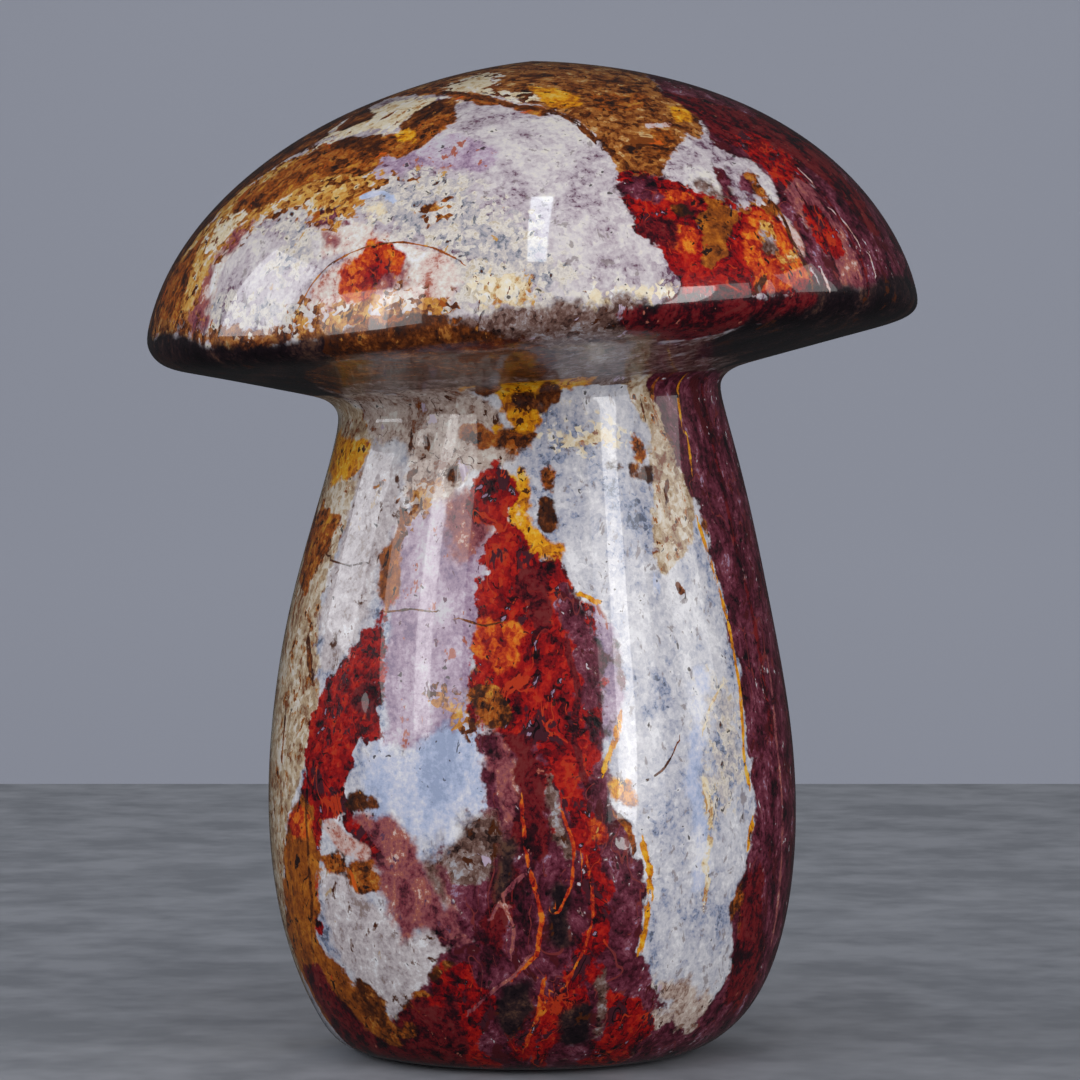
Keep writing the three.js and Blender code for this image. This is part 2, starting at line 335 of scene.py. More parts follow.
STEM_STROKES = [
    ("rust", 14, [(318, 506), (310, 540), (302, 570)]),
    ("rust", 10, [(330, 520), (322, 548)]),
    ("rust", 10, [(308, 560), (306, 590)]),
    ("rust", 6, [(296, 600), (292, 625)]),
    ("umber", 8, [(308, 640), (312, 680)]),
    ("umber", 4, [(286, 710), (282, 760)]),
    ("umber", 7, [(404, 535), (398, 545)]),
    ("umber", 8, [(425, 441), (426, 446)]),
    ("umber", 5, [(412, 435), (412, 438)]),
    ("umber", 6, [(410, 447), (411, 449)]),
    ("umber", 6, [(410, 474), (414, 471)]),
    ("umber", 8, [(407, 498), (409, 492)]),
    ("umber", 9, [(451, 478), (455, 472)]),
    ("rust", 5, [(377, 486), (382, 481)]),
    ("ochre", 10, [(419, 494), (422, 502)]),
    ("umber", 12, [(548, 390), (552, 394)]),
    ("umber", 9, [(541, 403), (545, 405)]),
    ("umber", 14, [(518, 397), (526, 400)]),
    ("umber", 12, [(484, 388), (494, 384)]),
    ("ochre", 10, [(443, 694), (454, 712)]),
    ("honey", 11, [(520, 470), (526, 492), (521, 515), (534, 540), (553, 550)]),
    ("honey", 5, [(582, 594), (596, 602)]),
    ("honey", 6, [(620, 716), (617, 735), (610, 752), (604, 772)]),
    ("honey", 10, [(612, 782), (622, 792), (628, 800)]),
    ("rust", 6, [(618, 815), (630, 830), (634, 850)]),
    ("honey", 6, [(643, 842), (650, 870), (650, 895), (645, 930), (640, 950)]),
    ("cream", 3, [(722, 684), (710, 706), (704, 730)]),
    ("cream", 7, [(704, 780), (712, 810), (710, 840), (704, 860), (708, 880), (704, 905)]),
    ("rust", 11, [(636, 440), (639, 456)]),
    ("umber", 11, [(632, 470), (648, 474)]),
    ("umber", 9, [(608, 465), (620, 466)]),
    ("rust", 12, [(547, 472), (549, 480)]),
    ("umber", 13, [(546, 508), (546, 522)]),
    ("umber", 6, [(667, 484), (667, 500)]),
    ("rust", 6, [(654, 384), (652, 396)]),
    ("umber", 4, [(642, 405), (644, 415)]),
    ("umber", 5, [(666, 432), (670, 440)]),
    ("umber", 7, [(679, 586), (682, 591)]),
    ("umber", 9, [(702, 522), (707, 534)]),
    ("blue", 8, [(655, 580), (657, 588)]),
    ("honey", 4, [(681, 380), (681, 420)]),
    ("honey", 4, [(688, 440), (692, 470)]),
    ("honey", 5, [(698, 522), (710, 560), (722, 600), (730, 630), (740, 690), (744, 760), (749, 785)]),
    ("honey", 8, [(752, 822), (748, 845)]),
    ("maroon", 8, [(704, 380), (722, 480), (732, 530), (754, 620), (764, 680), (772, 740)]),
    ("rose", 5, [(768, 660), (776, 740), (782, 800), (780, 880), (772, 940)]),
    ("rust", 12, [(738, 900), (732, 914)]),
    ("red", 18, [(541, 700), (559, 774), (578, 811), (597, 885), (598, 922), (589, 952), (570, 989),
        (522, 1055)]),
    ("orange", 3, [(587, 862), (592, 885), (593, 920), (584, 950), (566, 985), (540, 1018)]),
    ("orange", 4, [(521, 800), (527, 859), (542, 918), (537, 955), (514, 976)]),
    ("orange", 4, [(544, 981), (537, 1018), (525, 1048)]),
    ("rose", 4, [(492, 916), (504, 894), (522, 876)]),
    ("rose", 3, [(500, 900), (514, 926), (512, 952)]),
    ("rose", 3, [(470, 1012), (494, 990), (514, 976), (528, 958)]),
    ("orange", 3, [(562, 812), (574, 846), (572, 884), (560, 910)]),
    ("maroon", 6, [(566, 640), (578, 690), (574, 740), (588, 790)]),
    ("night", 10, [(509, 846), (505, 875), (500, 900)]),
    ("night", 16, [(559, 892), (560, 937)]),
    ("taupe", 9, [(548, 774), (556, 822), (570, 855)]),
    ("taupe", 10, [(600, 981), (601, 1010), (597, 1033)]),
    ("orange", 9, [(600, 830), (604, 838)]),
    ("umber", 2, [(328, 556), (345, 554), (360, 554), (372, 557)]),
    ("umber", 2, [(330, 560), (350, 566), (366, 562)]),
    ("umber", 2, [(386, 612), (412, 609), (434, 612)]),
    ("umber", 2, [(458, 618), (484, 626), (502, 622)]),
    ("umber", 2, [(637, 783), (650, 779), (663, 770), (672, 756), (678, 741)]),
    ("red", 11, [(346, 822), (362, 838), (374, 856)]),
    ("umber", 4, [(306, 800), (308, 850), (312, 900), (314, 960)]),
    ("pale", 12, [(330, 826), (340, 840), (362, 852)]),
]

# Pits that the polish left open: the pixel, the reach in mm and the depth in mm
PITS = [
    (425, 444, 1.4, 0.35), (409, 495, 1.4, 0.35), (453, 475, 1.3, 0.30), (379, 484, 1.2, 0.30),
    (523, 399, 1.5, 0.35), (543, 404, 1.2, 0.30), (546, 515, 1.7, 0.40), (548, 476, 1.3, 0.30),
    (638, 472, 1.4, 0.30), (667, 492, 1.2, 0.30), (680, 588, 1.2, 0.30), (346, 874, 1.8, 0.40),
    (531, 881, 1.3, 0.35), (622, 830, 1.2, 0.30), (655, 878, 1.1, 0.25), (366, 700, 1.3, 0.30),
    (736, 908, 1.5, 0.35), (683, 211, 1.4, 0.35), (760, 284, 1.3, 0.30), (648, 196, 1.2, 0.30),
    (770, 250, 1.4, 0.30), (610, 244, 1.2, 0.25), (510, 318, 1.3, 0.30),
]

# A pixel that misses the stone slides by so many pixels at a time, and downwards too above the dome's row
SLIDES = 40
SLIDE_ACROSS = 1.5
SLIDE_DOWN = 1.0
DOME_ROW = 200

# The depth in mm of a place that no outline is near
FAR_OUTSIDE = -30.0
# How far a mineral runs on under the ragged edge of one that gives way to it, in mm
UNDERLAP = 1.5
# How far the stem's minerals run over the cap's, in mm, so that no gap shows between them
STEM_OVERLAP = 1.2
# A stroke's ragged edges would eat it away without some more mm on either side
STROKE_BODY = 0.25
# A stroke up to so many pixels wide is a thin line
THIN_LINE = 8
# The minerals that thin lines are drawn in
LINED_MINERALS = ["umber", "rust", "honey", "orange", "pale", "blue", "cream", "maroon", "rose"]


UNDERSIDE_STEEPNESS = 1.6


def pixel_ray(column, row):
    """The direction in which the camera sees a pixel of the photograph."""
    half = FRAME_PIXELS / 2
    ahead = Vector(((column - half) / FOCAL_PIXELS, 1, (half - row) / FOCAL_PIXELS)).normalized()
    return Vector((ahead.x, ahead.y * cos(CAMERA_TILT) + ahead.z * sin(CAMERA_TILT),
                   ahead.z * cos(CAMERA_TILT) - ahead.y * sin(CAMERA_TILT)))


def land(surface, column, row):
    """The place on the stone that shows at a pixel. One just off the stone slides inwards until it lands."""
    middle = FRAME_PIXELS / 2
    for _ in range(SLIDES):
        place = surface.ray_cast(CAMERA_PLACE, pixel_ray(column, row))[0]
        if place is not None:
            return place / MM
        column += SLIDE_ACROSS if column < middle else -SLIDE_ACROSS
        row += SLIDE_DOWN if row < DOME_ROW else 0
    raise ValueError(f"pixel {column}, {row} doesn't land on the stone")


def on_stem(places, beyond=0.0):
    """The places that belong to the stem, or lie up to so many mm beyond it."""
    level = places[:, 2] - CAP_LEAN * places[:, 0]
    radius = np.hypot(places[:, 0], places[:, 1])
    widest_stem = np.where(level < ONLY_STEM_BELOW, WIDEST, NECK_RADIUS + beyond)
    return (level < NECK_TOP + beyond) & (radius < widest_stem)


def cap_chart(azimuth, along):
    return np.stack([along * np.sin(azimuth), -along * np.cos(azimuth)], -1)


def stem_chart(azimuth, along):
    return np.stack([azimuth * STEM_RADIUS, along], -1)


def charted(places, chart):
    """Unrolls places on the stone: the cap from its crown outwards and under, the stem round its axis."""
    x, y, z = places.T
    radius, azimuth = np.hypot(x, y), np.arctan2(x, -y)
    if chart == STEM:
        flat = np.where(z < FOOT_FLAT_TOP, np.maximum(0, FOOT_RADIUS - radius), 0)
        return stem_chart(azimuth, z - flat)
    level = z - CAP_LEAN * x
    along = DOME_RADIUS * np.arctan2(radius, level - DOME_CENTRE)
    under = (level < UNDERSIDE_TOP) & (radius < UNDERSIDE_RADIUS)
    return cap_chart(azimuth, along + np.where(under, UNDERSIDE_RADIUS - radius, 0))


def chart_route(surface, chart, route):
    """An outline or a route, from pixels and turns to the chart's millimetres."""
    made = []
    for point in route:
        if point[0] == "turn":
            azimuth, along = np.array([radians(point[1])]), np.array([point[2]])
            made.append((stem_chart if chart == STEM else cap_chart)(azimuth, along)[0])
        else:
            made.append(charted(np.array([land(surface, *point)]), chart)[0])
    return np.array(made)


def distance_to_route(points, route):
    nearest = np.full(len(points), 1e9)
    for start, end in zip(route[:-1], route[1:]):
        along = end - start
        share = np.clip(((points - start) @ along) / max(along @ along, 1e-9), 0, 1)
        nearest = np.minimum(nearest, np.hypot(*(points - start - share[:, None] * along).T))
    return nearest


def inside(points, outline):
    odd = np.zeros(len(points), bool)
    for start, end in zip(outline, np.roll(outline, -1, axis=0)):
        if start[1] == end[1]:
            continue
        crosses = (start[1] > points[:, 1]) != (end[1] > points[:, 1])
        at = start[0] + (points[:, 1] - start[1]) / (end[1] - start[1]) * (end[0] - start[0])
        odd ^= crosses & (points[:, 0] < at)
    return odd


def patch_depth(points, outline):
    edge = distance_to_route(points, np.vstack([outline, outline[:1]]))
    return np.where(inside(points, outline), edge, -edge)


def line_offset(points, route, half_width):
    """How far beside a thin line, in half widths, and negative on its other side, so that it blends."""
    nearest, side = np.full(len(points), 1e9), np.ones(len(points))
    for start, end in zip(route[:-1], route[1:]):
        along, across = end - start, points - start
        share = np.clip((across @ along) / max(along @ along, 1e-9), 0, 1)
        distance = np.hypot(*(across - share[:, None] * along).T)
        closer = distance < nearest
        nearest = np.where(closer, distance, nearest)
        side = np.where(closer, np.sign(along[0] * across[:, 1] - along[1] * across[:, 0]), side)
    return side * nearest / half_width


def all_round(depth_of, points, chart):
    """A stem chart meets itself behind the stone, so each patch is also looked for one turn away."""
    turns = (0, -2 * pi * STEM_RADIUS, 2 * pi * STEM_RADIUS) if chart == STEM else (0,)
    return np.max([depth_of(points + (shift, 0)) for shift in turns], axis=0)


def lay(depths, mineral, here, depth):
    """Lays a patch over the ones laid before it. Minerals that would hide it give way where it lies."""
    laid = depths[mineral][here]
    order = list(MINERALS)
    for upper in order[order.index(mineral) + 1:]:
        held = depths[upper][here]
        laid = np.maximum(laid, np.minimum(depth + UNDERLAP, held))
        depths[upper][here] = np.minimum(held, -depth)
    depths[mineral][here] = np.maximum(laid, depth)


def mineral_depths(surface, places):
    """How deep each vertex lies in each mineral, in mm, negative outside, and how far beside its lines."""
    depths = {mineral: np.full(len(places), FAR_OUTSIDE) for mineral in MINERALS}
    offsets = {mineral: np.full(len(places), -FAR_OUTSIDE) for mineral in LINED_MINERALS}
    reaches = {mineral: np.full(len(places), -FAR_OUTSIDE) for mineral in LINED_MINERALS}
    for chart, here, patches, strokes in (
        (CAP, ~on_stem(places), CAP_PATCHES, CAP_STROKES),
        (STEM, on_stem(places, beyond=STEM_OVERLAP), STEM_PATCHES, STEM_STROKES),
    ):
        points = charted(places[here], chart)
        for _, mineral, outline in patches:
            route = chart_route(surface, chart, outline)
            lay(depths, mineral, here, all_round(lambda at: patch_depth(at, route), points, chart))
        for mineral, width, line in strokes:
            route = chart_route(surface, chart, line)
            half = width / PIXELS_PER_MM / 2
            if width > THIN_LINE:
                body = half + STROKE_BODY
                depth = all_round(lambda at: body - distance_to_route(at, route), points, chart)
                lay(depths, mineral, here, depth)
            else:
                offset, held = line_offset(points, route, half), offsets[mineral][here]
                closer = np.abs(offset) < np.abs(held)
                offsets[mineral][here] = np.where(closer, offset, held)
                reaches[mineral][here] = np.where(closer, np.abs(offset) * half, reaches[mineral][here])
    return depths, offsets, reaches


def make_stone():
    """The fine surface of the stone: a merged copy of the solid, in quads, subdivided."""
    solid = bpy.data.objects["agate_mushroom"]
    stone = bpy.data.objects.new("polished_stone", solid.data.copy())
    bpy.context.collection.objects.link(stone)
    bpy.ops.object.select_all(action="DESELECT")
    stone.select_set(True)
    bpy.context.view_layer.objects.active = stone
    bpy.ops.object.mode_set(mode="EDIT")
    bpy.ops.mesh.select_all(action="SELECT")
    bpy.ops.mesh.remove_doubles(threshold=1e-6)
    bpy.ops.mesh.tris_convert_to_quads(face_threshold=radians(60), shape_threshold=radians(60))
    bpy.ops.object.mode_set(mode="OBJECT")
    rounded = stone.modifiers.new("rounded", "SUBSURF")
    rounded.levels = rounded.render_levels = 2
    bpy.ops.object.modifier_apply(modifier="rounded")
    bpy.ops.object.shade_smooth()
    stone.data.materials.clear()
    return stone


def sink_pits(stone, surface):
    """Presses the pits into the polished surface as smooth bowls."""
    bpy.ops.object.mode_set(mode="EDIT")
    bpy.ops.mesh.select_mode(type="VERT")
    mesh = bmesh.from_edit_mesh(stone.data)
    mesh.verts.ensure_lookup_table()
    for column, row, reach, depth in PITS:
        bpy.ops.mesh.select_all(action="DESELECT")
        _, inward, face, _ = surface.ray_cast(CAMERA_PLACE, pixel_ray(column, row))
        mesh.faces.ensure_lookup_table()
        mesh.faces[face].verts[0].select_set(True)
        bpy.ops.transform.translate(value=-inward * depth * MM, use_proportional_edit=True,
                                    proportional_edit_falloff="SMOOTH", proportional_size=reach * MM)
    bpy.ops.object.mode_set(mode="OBJECT")


def make_attributes(stone, places, depths, offsets, reaches):
    """Gives every vertex its depths and distances, and how far it faces down on the cap's underside."""
    downwards = np.array([-vertex.normal.z for vertex in stone.data.vertices])
    facing_down = np.clip(UNDERSIDE_STEEPNESS * downwards, 0, 1)
    kept = {"underside": np.where(places[:, 2] > ONLY_STEM_BELOW, facing_down, 0)}
    for kind, values in (("depth_", depths), ("line_", offsets), ("near_", reaches)):
        for mineral, value in values.items():
            kept[kind + mineral] = value
    for name, value in kept.items():
        held = stone.data.attributes.new(name, "FLOAT", "POINT")
        held.data.foreach_set("value", value.astype(np.float32))


class Recipe:
    """A node tree being written. Each method adds a node and gives what it puts out."""

    def __init__(self, tree):
        self.tree = tree

    def node(self, kind, **settings):
        made = self.tree.nodes.new(kind)
        for name, value in settings.items():
            setattr(made, name, value)
        return made

    def feed(self, socket, value):
        if isinstance(value, bpy.types.NodeSocket):
            self.tree.links.new(value, socket)
        else:
            socket.default_value = value

    def math(self, operation, *values, clamp=False):
        made = self.node("ShaderNodeMath", operation=operation, use_clamp=clamp)
        for socket, value in zip(made.inputs, values):
            self.feed(socket, value)
        return made.outputs[0]

    def vector(self, operation, *values):
        made = self.node("ShaderNodeVectorMath", operation=operation)
        for socket, value in zip(made.inputs, values):
            self.feed(socket, value)
        return made.outputs[0]

    def scaled(self, place, scale):
        return self.vector("MULTIPLY", place, (scale, scale, scale))

    def noise(self, place, size, seed, detail, harshness):
        made = self.node("ShaderNodeTexNoise")
        self.feed(made.inputs["Vector"], self.vector("ADD", place, (seed * 37.0, seed * 53.0, seed * 71.0)))
        made.inputs["Scale"].default_value = 1 / size
        made.inputs["Detail"].default_value = detail
        made.inputs["Roughness"].default_value = harshness
        return made

    def cloud(self, place, size, seed, detail=4, harshness=0.6, contrast=2.4):
        """Cloudy noise from 0 to 1, with blotches about size mm across."""
        plain = self.noise(place, size, seed, detail, harshness).outputs[0]
        return self.math("MULTIPLY_ADD", self.math("SUBTRACT", plain, 0.5), contrast, 0.5, clamp=True)

    def drift(self, place, size, seed, reach, detail):
        """The place, pushed about by up to some reach mm in swirls of size mm."""
        swirl = self.noise(place, size, seed, detail, 0.5).outputs["Color"]
        push = self.vector("SUBTRACT", swirl, (0.5, 0.5, 0.5))
        return self.vector("ADD", place, self.scaled(push, 2 * reach))

    def grains(self, place, size):
        """Broken grains about size mm across: how far from each one's middle, and a random value for each."""
        made = self.node("ShaderNodeTexVoronoi")
        self.feed(made.inputs["Vector"], place)
        made.inputs["Scale"].default_value = 1 / size
        split = self.node("ShaderNodeSeparateColor")
        self.feed(split.inputs[0], made.outputs["Color"])
        return made.outputs["Distance"], split.outputs[0]

    def step(self, value, low, high):
        """0 at low and 1 at high, smoothly between."""
        made = self.node("ShaderNodeMapRange", interpolation_type="SMOOTHSTEP")
        for socket, given in zip(made.inputs, (value, low, high, 0.0, 1.0)):
            self.feed(socket, given)
        return made.outputs[0]

    def blend(self, share, low, high, mode="MIX"):
        made = self.node("ShaderNodeMix", data_type="RGBA", blend_type=mode)
        self.feed(made.inputs[0], share)
        for socket, colour in zip((made.inputs[6], made.inputs[7]), (low, high)):
            self.feed(socket, colour if isinstance(colour, bpy.types.NodeSocket) else (*colour, 1))
        return made.outputs[2]

    def ramp(self, value, colours):
        """Colours for a value from 0 to 1, as [(place on the ramp, colour), ...]."""
        made = self.node("ShaderNodeValToRGB")
        stops = made.color_ramp.elements
        while len(stops) < len(colours):
            stops.new(0.5)
        for stop, (place, colour) in zip(stops, colours):
            stop.position = place
            stop.color = (*colour, 1)
        self.feed(made.inputs[0], value)
        return made.outputs[0]

    def attribute(self, name):
        return self.node("ShaderNodeAttribute", attribute_name=name).outputs["Fac"]


def mineral_edge_group():
    """Where a mineral shows: its depth in mm, with an edge as ragged and as soft as the mineral's."""
    tree = bpy.data.node_groups.new("mineral_edge", "ShaderNodeTree")
    for name in ("depth", "noise", "raggedness", "softness"):
        tree.interface.new_socket(name, in_out="INPUT", socket_type="NodeSocketFloat")
    tree.interface.new_socket("mask", in_out="OUTPUT", socket_type="NodeSocketFloat")
    recipe = Recipe(tree)
    given, put_out = recipe.node("NodeGroupInput"), recipe.node("NodeGroupOutput")
    swing, depth = given.outputs["raggedness"], given.outputs["depth"]
    reach = recipe.math("MULTIPLY_ADD", given.outputs["noise"], swing, depth)
    low = recipe.math("MULTIPLY", given.outputs["softness"], -1.0)
    recipe.feed(put_out.inputs[0], recipe.step(reach, low, given.outputs["softness"]))
    return tree


# The stone's colours
INK = (0.007, 0.004, 0.006)
SOOT = (0.020, 0.009, 0.008)
CHOCOLATE = (0.075, 0.018, 0.005)
CHESTNUT = (0.210, 0.050, 0.008)
RUST = (0.380, 0.080, 0.005)
CARAMEL = (0.460, 0.170, 0.030)
MUSTARD = (0.560, 0.300, 0.070)
AMBER = (0.640, 0.280, 0.020)
SAND = (0.500, 0.350, 0.210)
IVORY = (0.680, 0.570, 0.430)
BONE = (0.760, 0.700, 0.630)
SNOW = (0.840, 0.820, 0.840)
PEARL = (0.600, 0.560, 0.600)
ASH = (0.420, 0.400, 0.430)
TAUPE = (0.300, 0.220, 0.200)
SLATE = (0.120, 0.135, 0.190)
STEEL = (0.270, 0.310, 0.440)
LILAC = (0.520, 0.400, 0.500)
HEATHER = (0.330, 0.210, 0.310)
GRAPE = (0.130, 0.050, 0.090)
WINE = (0.062, 0.012, 0.020)
BLOOD = (0.150, 0.005, 0.009)
SCARLET = (0.300, 0.009, 0.006)
VERMILION = (0.480, 0.036, 0.008)
TANGERINE = (0.660, 0.105, 0.008)
SALMON = (0.420, 0.120, 0.080)
SHELL = (0.680, 0.490, 0.440)

# How each mineral looks, the ones that lie over the others last: the raggedness of its edge in mm, which
# swings the other way where it is negative, the softness of its edge in mm, the field that its blotches
# follow, the shares of blotches, fine grain and broken grains in its tone, its colours, and its flecks
MINERALS = {
    "tan": (-1.4, 0.25, "small", (0.50, 0.20, 0.30),
            [(0.08, SOOT), (0.24, CHOCOLATE), (0.42, CHESTNUT), (0.58, (0.36, 0.125, 0.026)), (0.74, CARAMEL),
             (0.92, (0.62, 0.40, 0.18))],
            [("blot", 0.80, CHESTNUT), ("fleck", 0.86, CHOCOLATE)]),
    "bark": (1.2, 0.25, "small", (0.50, 0.20, 0.30),
             [(0.12, CHESTNUT), (0.30, (0.36, 0.24, 0.15)), (0.48, SAND), (0.70, IVORY), (0.94, BONE)],
             [("fleck", 0.74, CARAMEL), ("fleck", 0.82, CHESTNUT), ("fleck", 0.92, SOOT)]),
    "cream": (1.0, 0.3, "small", (0.45, 0.20, 0.35),
              [(0.10, CARAMEL), (0.24, (0.60, 0.41, 0.20)), (0.44, (0.80, 0.66, 0.44)),
               (0.70, (0.84, 0.74, 0.56)), (0.95, SNOW)],
              [("fleck", 0.88, CHESTNUT)]),
    "grit": (1.4, 0.5, "small", (0.35, 0.30, 0.35),
             [(0.08, (0.15, 0.16, 0.20)), (0.24, (0.34, 0.33, 0.37)), (0.42, (0.50, 0.45, 0.46)),
              (0.58, (0.62, 0.55, 0.50)), (0.74, BONE), (0.92, (0.56, 0.46, 0.34))],
             [("fleck", 0.80, (0.19, 0.20, 0.23)), ("fleck", 0.92, CHOCOLATE), ("blot", 0.86, MUSTARD)]),
    "taupe": (-1.2, 0.5, "small", (0.45, 0.25, 0.30),
              [(0.10, SOOT), (0.32, (0.100, 0.045, 0.034)), (0.54, (0.19, 0.105, 0.085)), (0.76, TAUPE),
               (0.94, ASH)],
              [("fleck", 0.82, CHOCOLATE), ("blot", 0.90, LILAC)]),
    "fawn": (-1.3, 0.5, "small", (0.45, 0.25, 0.30),
             [(0.10, CHESTNUT), (0.28, (0.30, 0.19, 0.15)), (0.46, (0.50, 0.37, 0.31)),
              (0.66, (0.62, 0.49, 0.42)), (0.92, BONE)],
             [("fleck", 0.84, CHOCOLATE), ("blot", 0.82, LILAC), ("crack", 0.5, CHOCOLATE)]),
    "blue": (-1.2, 0.8, "middle", (0.65, 0.25, 0.10),
             [(0.12, (0.34, 0.40, 0.57)), (0.38, (0.47, 0.53, 0.71)), (0.60, (0.62, 0.63, 0.75)),
              (0.90, SNOW)],
             [("fleck", 0.94, SLATE)]),
    "mauve": (-1.0, 0.5, "middle", (0.60, 0.30, 0.10),
              [(0.12, (0.20, 0.12, 0.22)), (0.40, (0.36, 0.24, 0.34)), (0.66, LILAC), (0.92, PEARL)],
              [("fleck", 0.90, GRAPE), ("blot", 0.80, SALMON)]),
    "haze": (1.0, 0.6, "small", (0.50, 0.30, 0.20),
             [(0.08, TAUPE), (0.24, (0.42, 0.35, 0.36)), (0.44, (0.55, 0.48, 0.49)),
              (0.66, (0.66, 0.59, 0.59)), (0.92, SNOW)],
             [("fleck", 0.80, TAUPE), ("blot", 0.86, SAND), ("fleck", 0.90, CHOCOLATE)]),
    "blush": (0.8, 0.5, "middle", (0.60, 0.30, 0.10),
              [(0.15, SALMON), (0.38, SHELL), (0.65, BONE), (0.90, SNOW)],
              [("fleck", 0.94, CARAMEL)]),
    "rose": (1.1, 0.7, "small", (0.60, 0.30, 0.10),
             [(0.08, WINE), (0.30, (0.20, 0.035, 0.050)), (0.52, (0.30, 0.085, 0.095)), (0.75, SALMON),
              (0.95, SHELL)],
             [("fleck", 0.90, GRAPE)]),
    "plum": (1.2, 0.3, "small", (0.60, 0.25, 0.15),
             [(0.06, INK), (0.24, (0.040, 0.006, 0.012)), (0.40, (0.078, 0.009, 0.020)),
              (0.56, (0.125, 0.020, 0.038)), (0.72, (0.180, 0.036, 0.062)), (0.86, (0.26, 0.080, 0.105)),
              (0.97, HEATHER)],
             [("blot", 0.72, (0.080, 0.008, 0.012)), ("vein", 0.5, (0.20, 0.03, 0.03)),
              ("fleck", 0.90, (0.22, 0.09, 0.09)), ("fleck", 0.97, PEARL)]),
    "ochre": (-1.2, 0.25, "small", (0.35, 0.20, 0.45),
              [(0.08, CHOCOLATE), (0.20, CHESTNUT), (0.34, CARAMEL), (0.50, (0.62, 0.29, 0.050)),
               (0.68, (0.68, 0.40, 0.100)), (0.84, (0.72, 0.52, 0.240)), (0.96, BONE)],
              [("fleck", 0.82, CHOCOLATE), ("blot", 0.80, RUST)]),
    "honey": (-1.0, 0.3, "small", (0.50, 0.25, 0.25),
              [(0.08, CHESTNUT), (0.26, (0.48, 0.140, 0.004)), (0.46, (0.72, 0.260, 0.003)),
               (0.68, (0.82, 0.400, 0.008)), (0.92, (0.80, 0.520, 0.100))],
              [("fleck", 0.80, CHOCOLATE), ("blot", 0.84, RUST)]),
    "rust": (1.1, 0.25, "small", (0.50, 0.25, 0.25),
             [(0.08, SOOT), (0.28, CHOCOLATE), (0.44, CHESTNUT), (0.60, RUST), (0.78, CARAMEL),
              (0.95, AMBER)],
             [("fleck", 0.84, SOOT), ("blot", 0.88, TANGERINE)]),
    "ginger": (1.1, 0.3, "small", (0.55, 0.25, 0.20),
               [(0.08, CHOCOLATE), (0.28, CHESTNUT), (0.46, (0.29, 0.070, 0.007)),
                (0.66, (0.40, 0.110, 0.010)), (0.92, (0.54, 0.180, 0.015))],
               [("fleck", 0.84, SOOT), ("vein", 0.5, SOOT), ("blot", 0.84, VERMILION)]),
    "red": (-1.3, 0.2, "small", (0.50, 0.20, 0.30),
            [(0.08, INK), (0.24, (0.060, 0.003, 0.007)), (0.40, (0.19, 0.002, 0.005)),
             (0.56, (0.31, 0.003, 0.004)), (0.78, (0.46, 0.012, 0.005)), (0.97, VERMILION)],
            [("blot", 0.70, WINE), ("glow", 0.74, VERMILION), ("vein", 0.5, VERMILION), ("fleck", 0.84, SOOT),
             ("fleck", 0.95, HEATHER), ("crack", 0.5, INK)]),
    "orange": (-1.0, 0.3, "small", (0.50, 0.20, 0.30),
               [(0.10, BLOOD), (0.28, SCARLET), (0.46, VERMILION), (0.64, TANGERINE),
                (0.90, (0.72, 0.24, 0.018))],
               [("fleck", 0.84, SOOT), ("blot", 0.92, MUSTARD)]),
    "maroon": (-1.0, 0.3, "small", (0.60, 0.25, 0.15),
               [(0.08, INK), (0.40, (0.040, 0.004, 0.008)), (0.60, BLOOD), (0.85, (0.17, 0.02, 0.02))],
               [("vein", 0.5, (0.20, 0.012, 0.012)), ("fleck", 0.94, SALMON)]),
    # Blue-black: dark stone on the stem's foot; where it lies under the cap it is painted shade
    "night": (-0.6, 0.6, "middle", (0.60, 0.30, 0.10),
              [(0.12, INK), (0.45, (0.014, 0.007, 0.010)), (0.70, (0.040, 0.018, 0.018)),
               (0.94, (0.110, 0.050, 0.032))],
              [("blot", 0.80, CHOCOLATE)]),
    "pale": (0.4, 0.25, "small", (0.60, 0.30, 0.10),
             [(0.15, SALMON), (0.50, SHELL), (0.85, PEARL)], []),
    "umber": (0.7, 0.2, "small", (0.60, 0.25, 0.15),
              [(0.12, SOOT), (0.46, CHOCOLATE), (0.74, CHESTNUT), (0.96, CARAMEL)],
              [("fleck", 0.90, CARAMEL)]),
}
MILK = ("middle", (0.55, 0.25, 0.20),
        [(0.06, SLATE), (0.17, STEEL), (0.31, (0.44, 0.44, 0.52)), (0.49, (0.57, 0.56, 0.61)),
         (0.67, (0.68, 0.66, 0.69)), (0.90, SNOW)])
CAP_MILK = [(0.08, GRAPE), (0.20, (0.34, 0.27, 0.31)), (0.34, (0.48, 0.40, 0.44)), (0.52, (0.58, 0.51, 0.53)),
            (0.70, (0.68, 0.62, 0.62)), (0.92, BONE)]
BLOTCH_CONTRAST = 1.5
FLECK_EDGE = 0.03
# Minerals with at least this share of broken grains have granular edges
GRAINY_SHARE = 0.35

# The pattern's sizes in mm, and how its grain is drawn out along the stem
SWIRL_SIZE = 9
SWIRL_REACH = 3.5
GRAIN_STRETCH = (1.0, 1.0, 0.55)
FLOW_STRETCH = (1.0, 1.0, 0.30)
FLOW_SIZE = 3.4
CRUMPLE_SIZE = 0.8
CRUMPLE_REACH = 0.5
BROKEN_GRAIN_SIZE = 0.80
EDGE_NOISE_SIZE = 3.5
GRAIN_SWING = 2.4
# Veins and cracks show where the flow comes near a value: the value, where they fade in and where full
VEIN = (0.50, 0.014, 0.004)
CRACK = (0.42, 0.010, 0.003)
# The blotches that veins and cracks keep to
VEINED = (0.42, 0.62)
CRACKED = (0.50, 0.62)
GLOW_BREAKS = 0.25
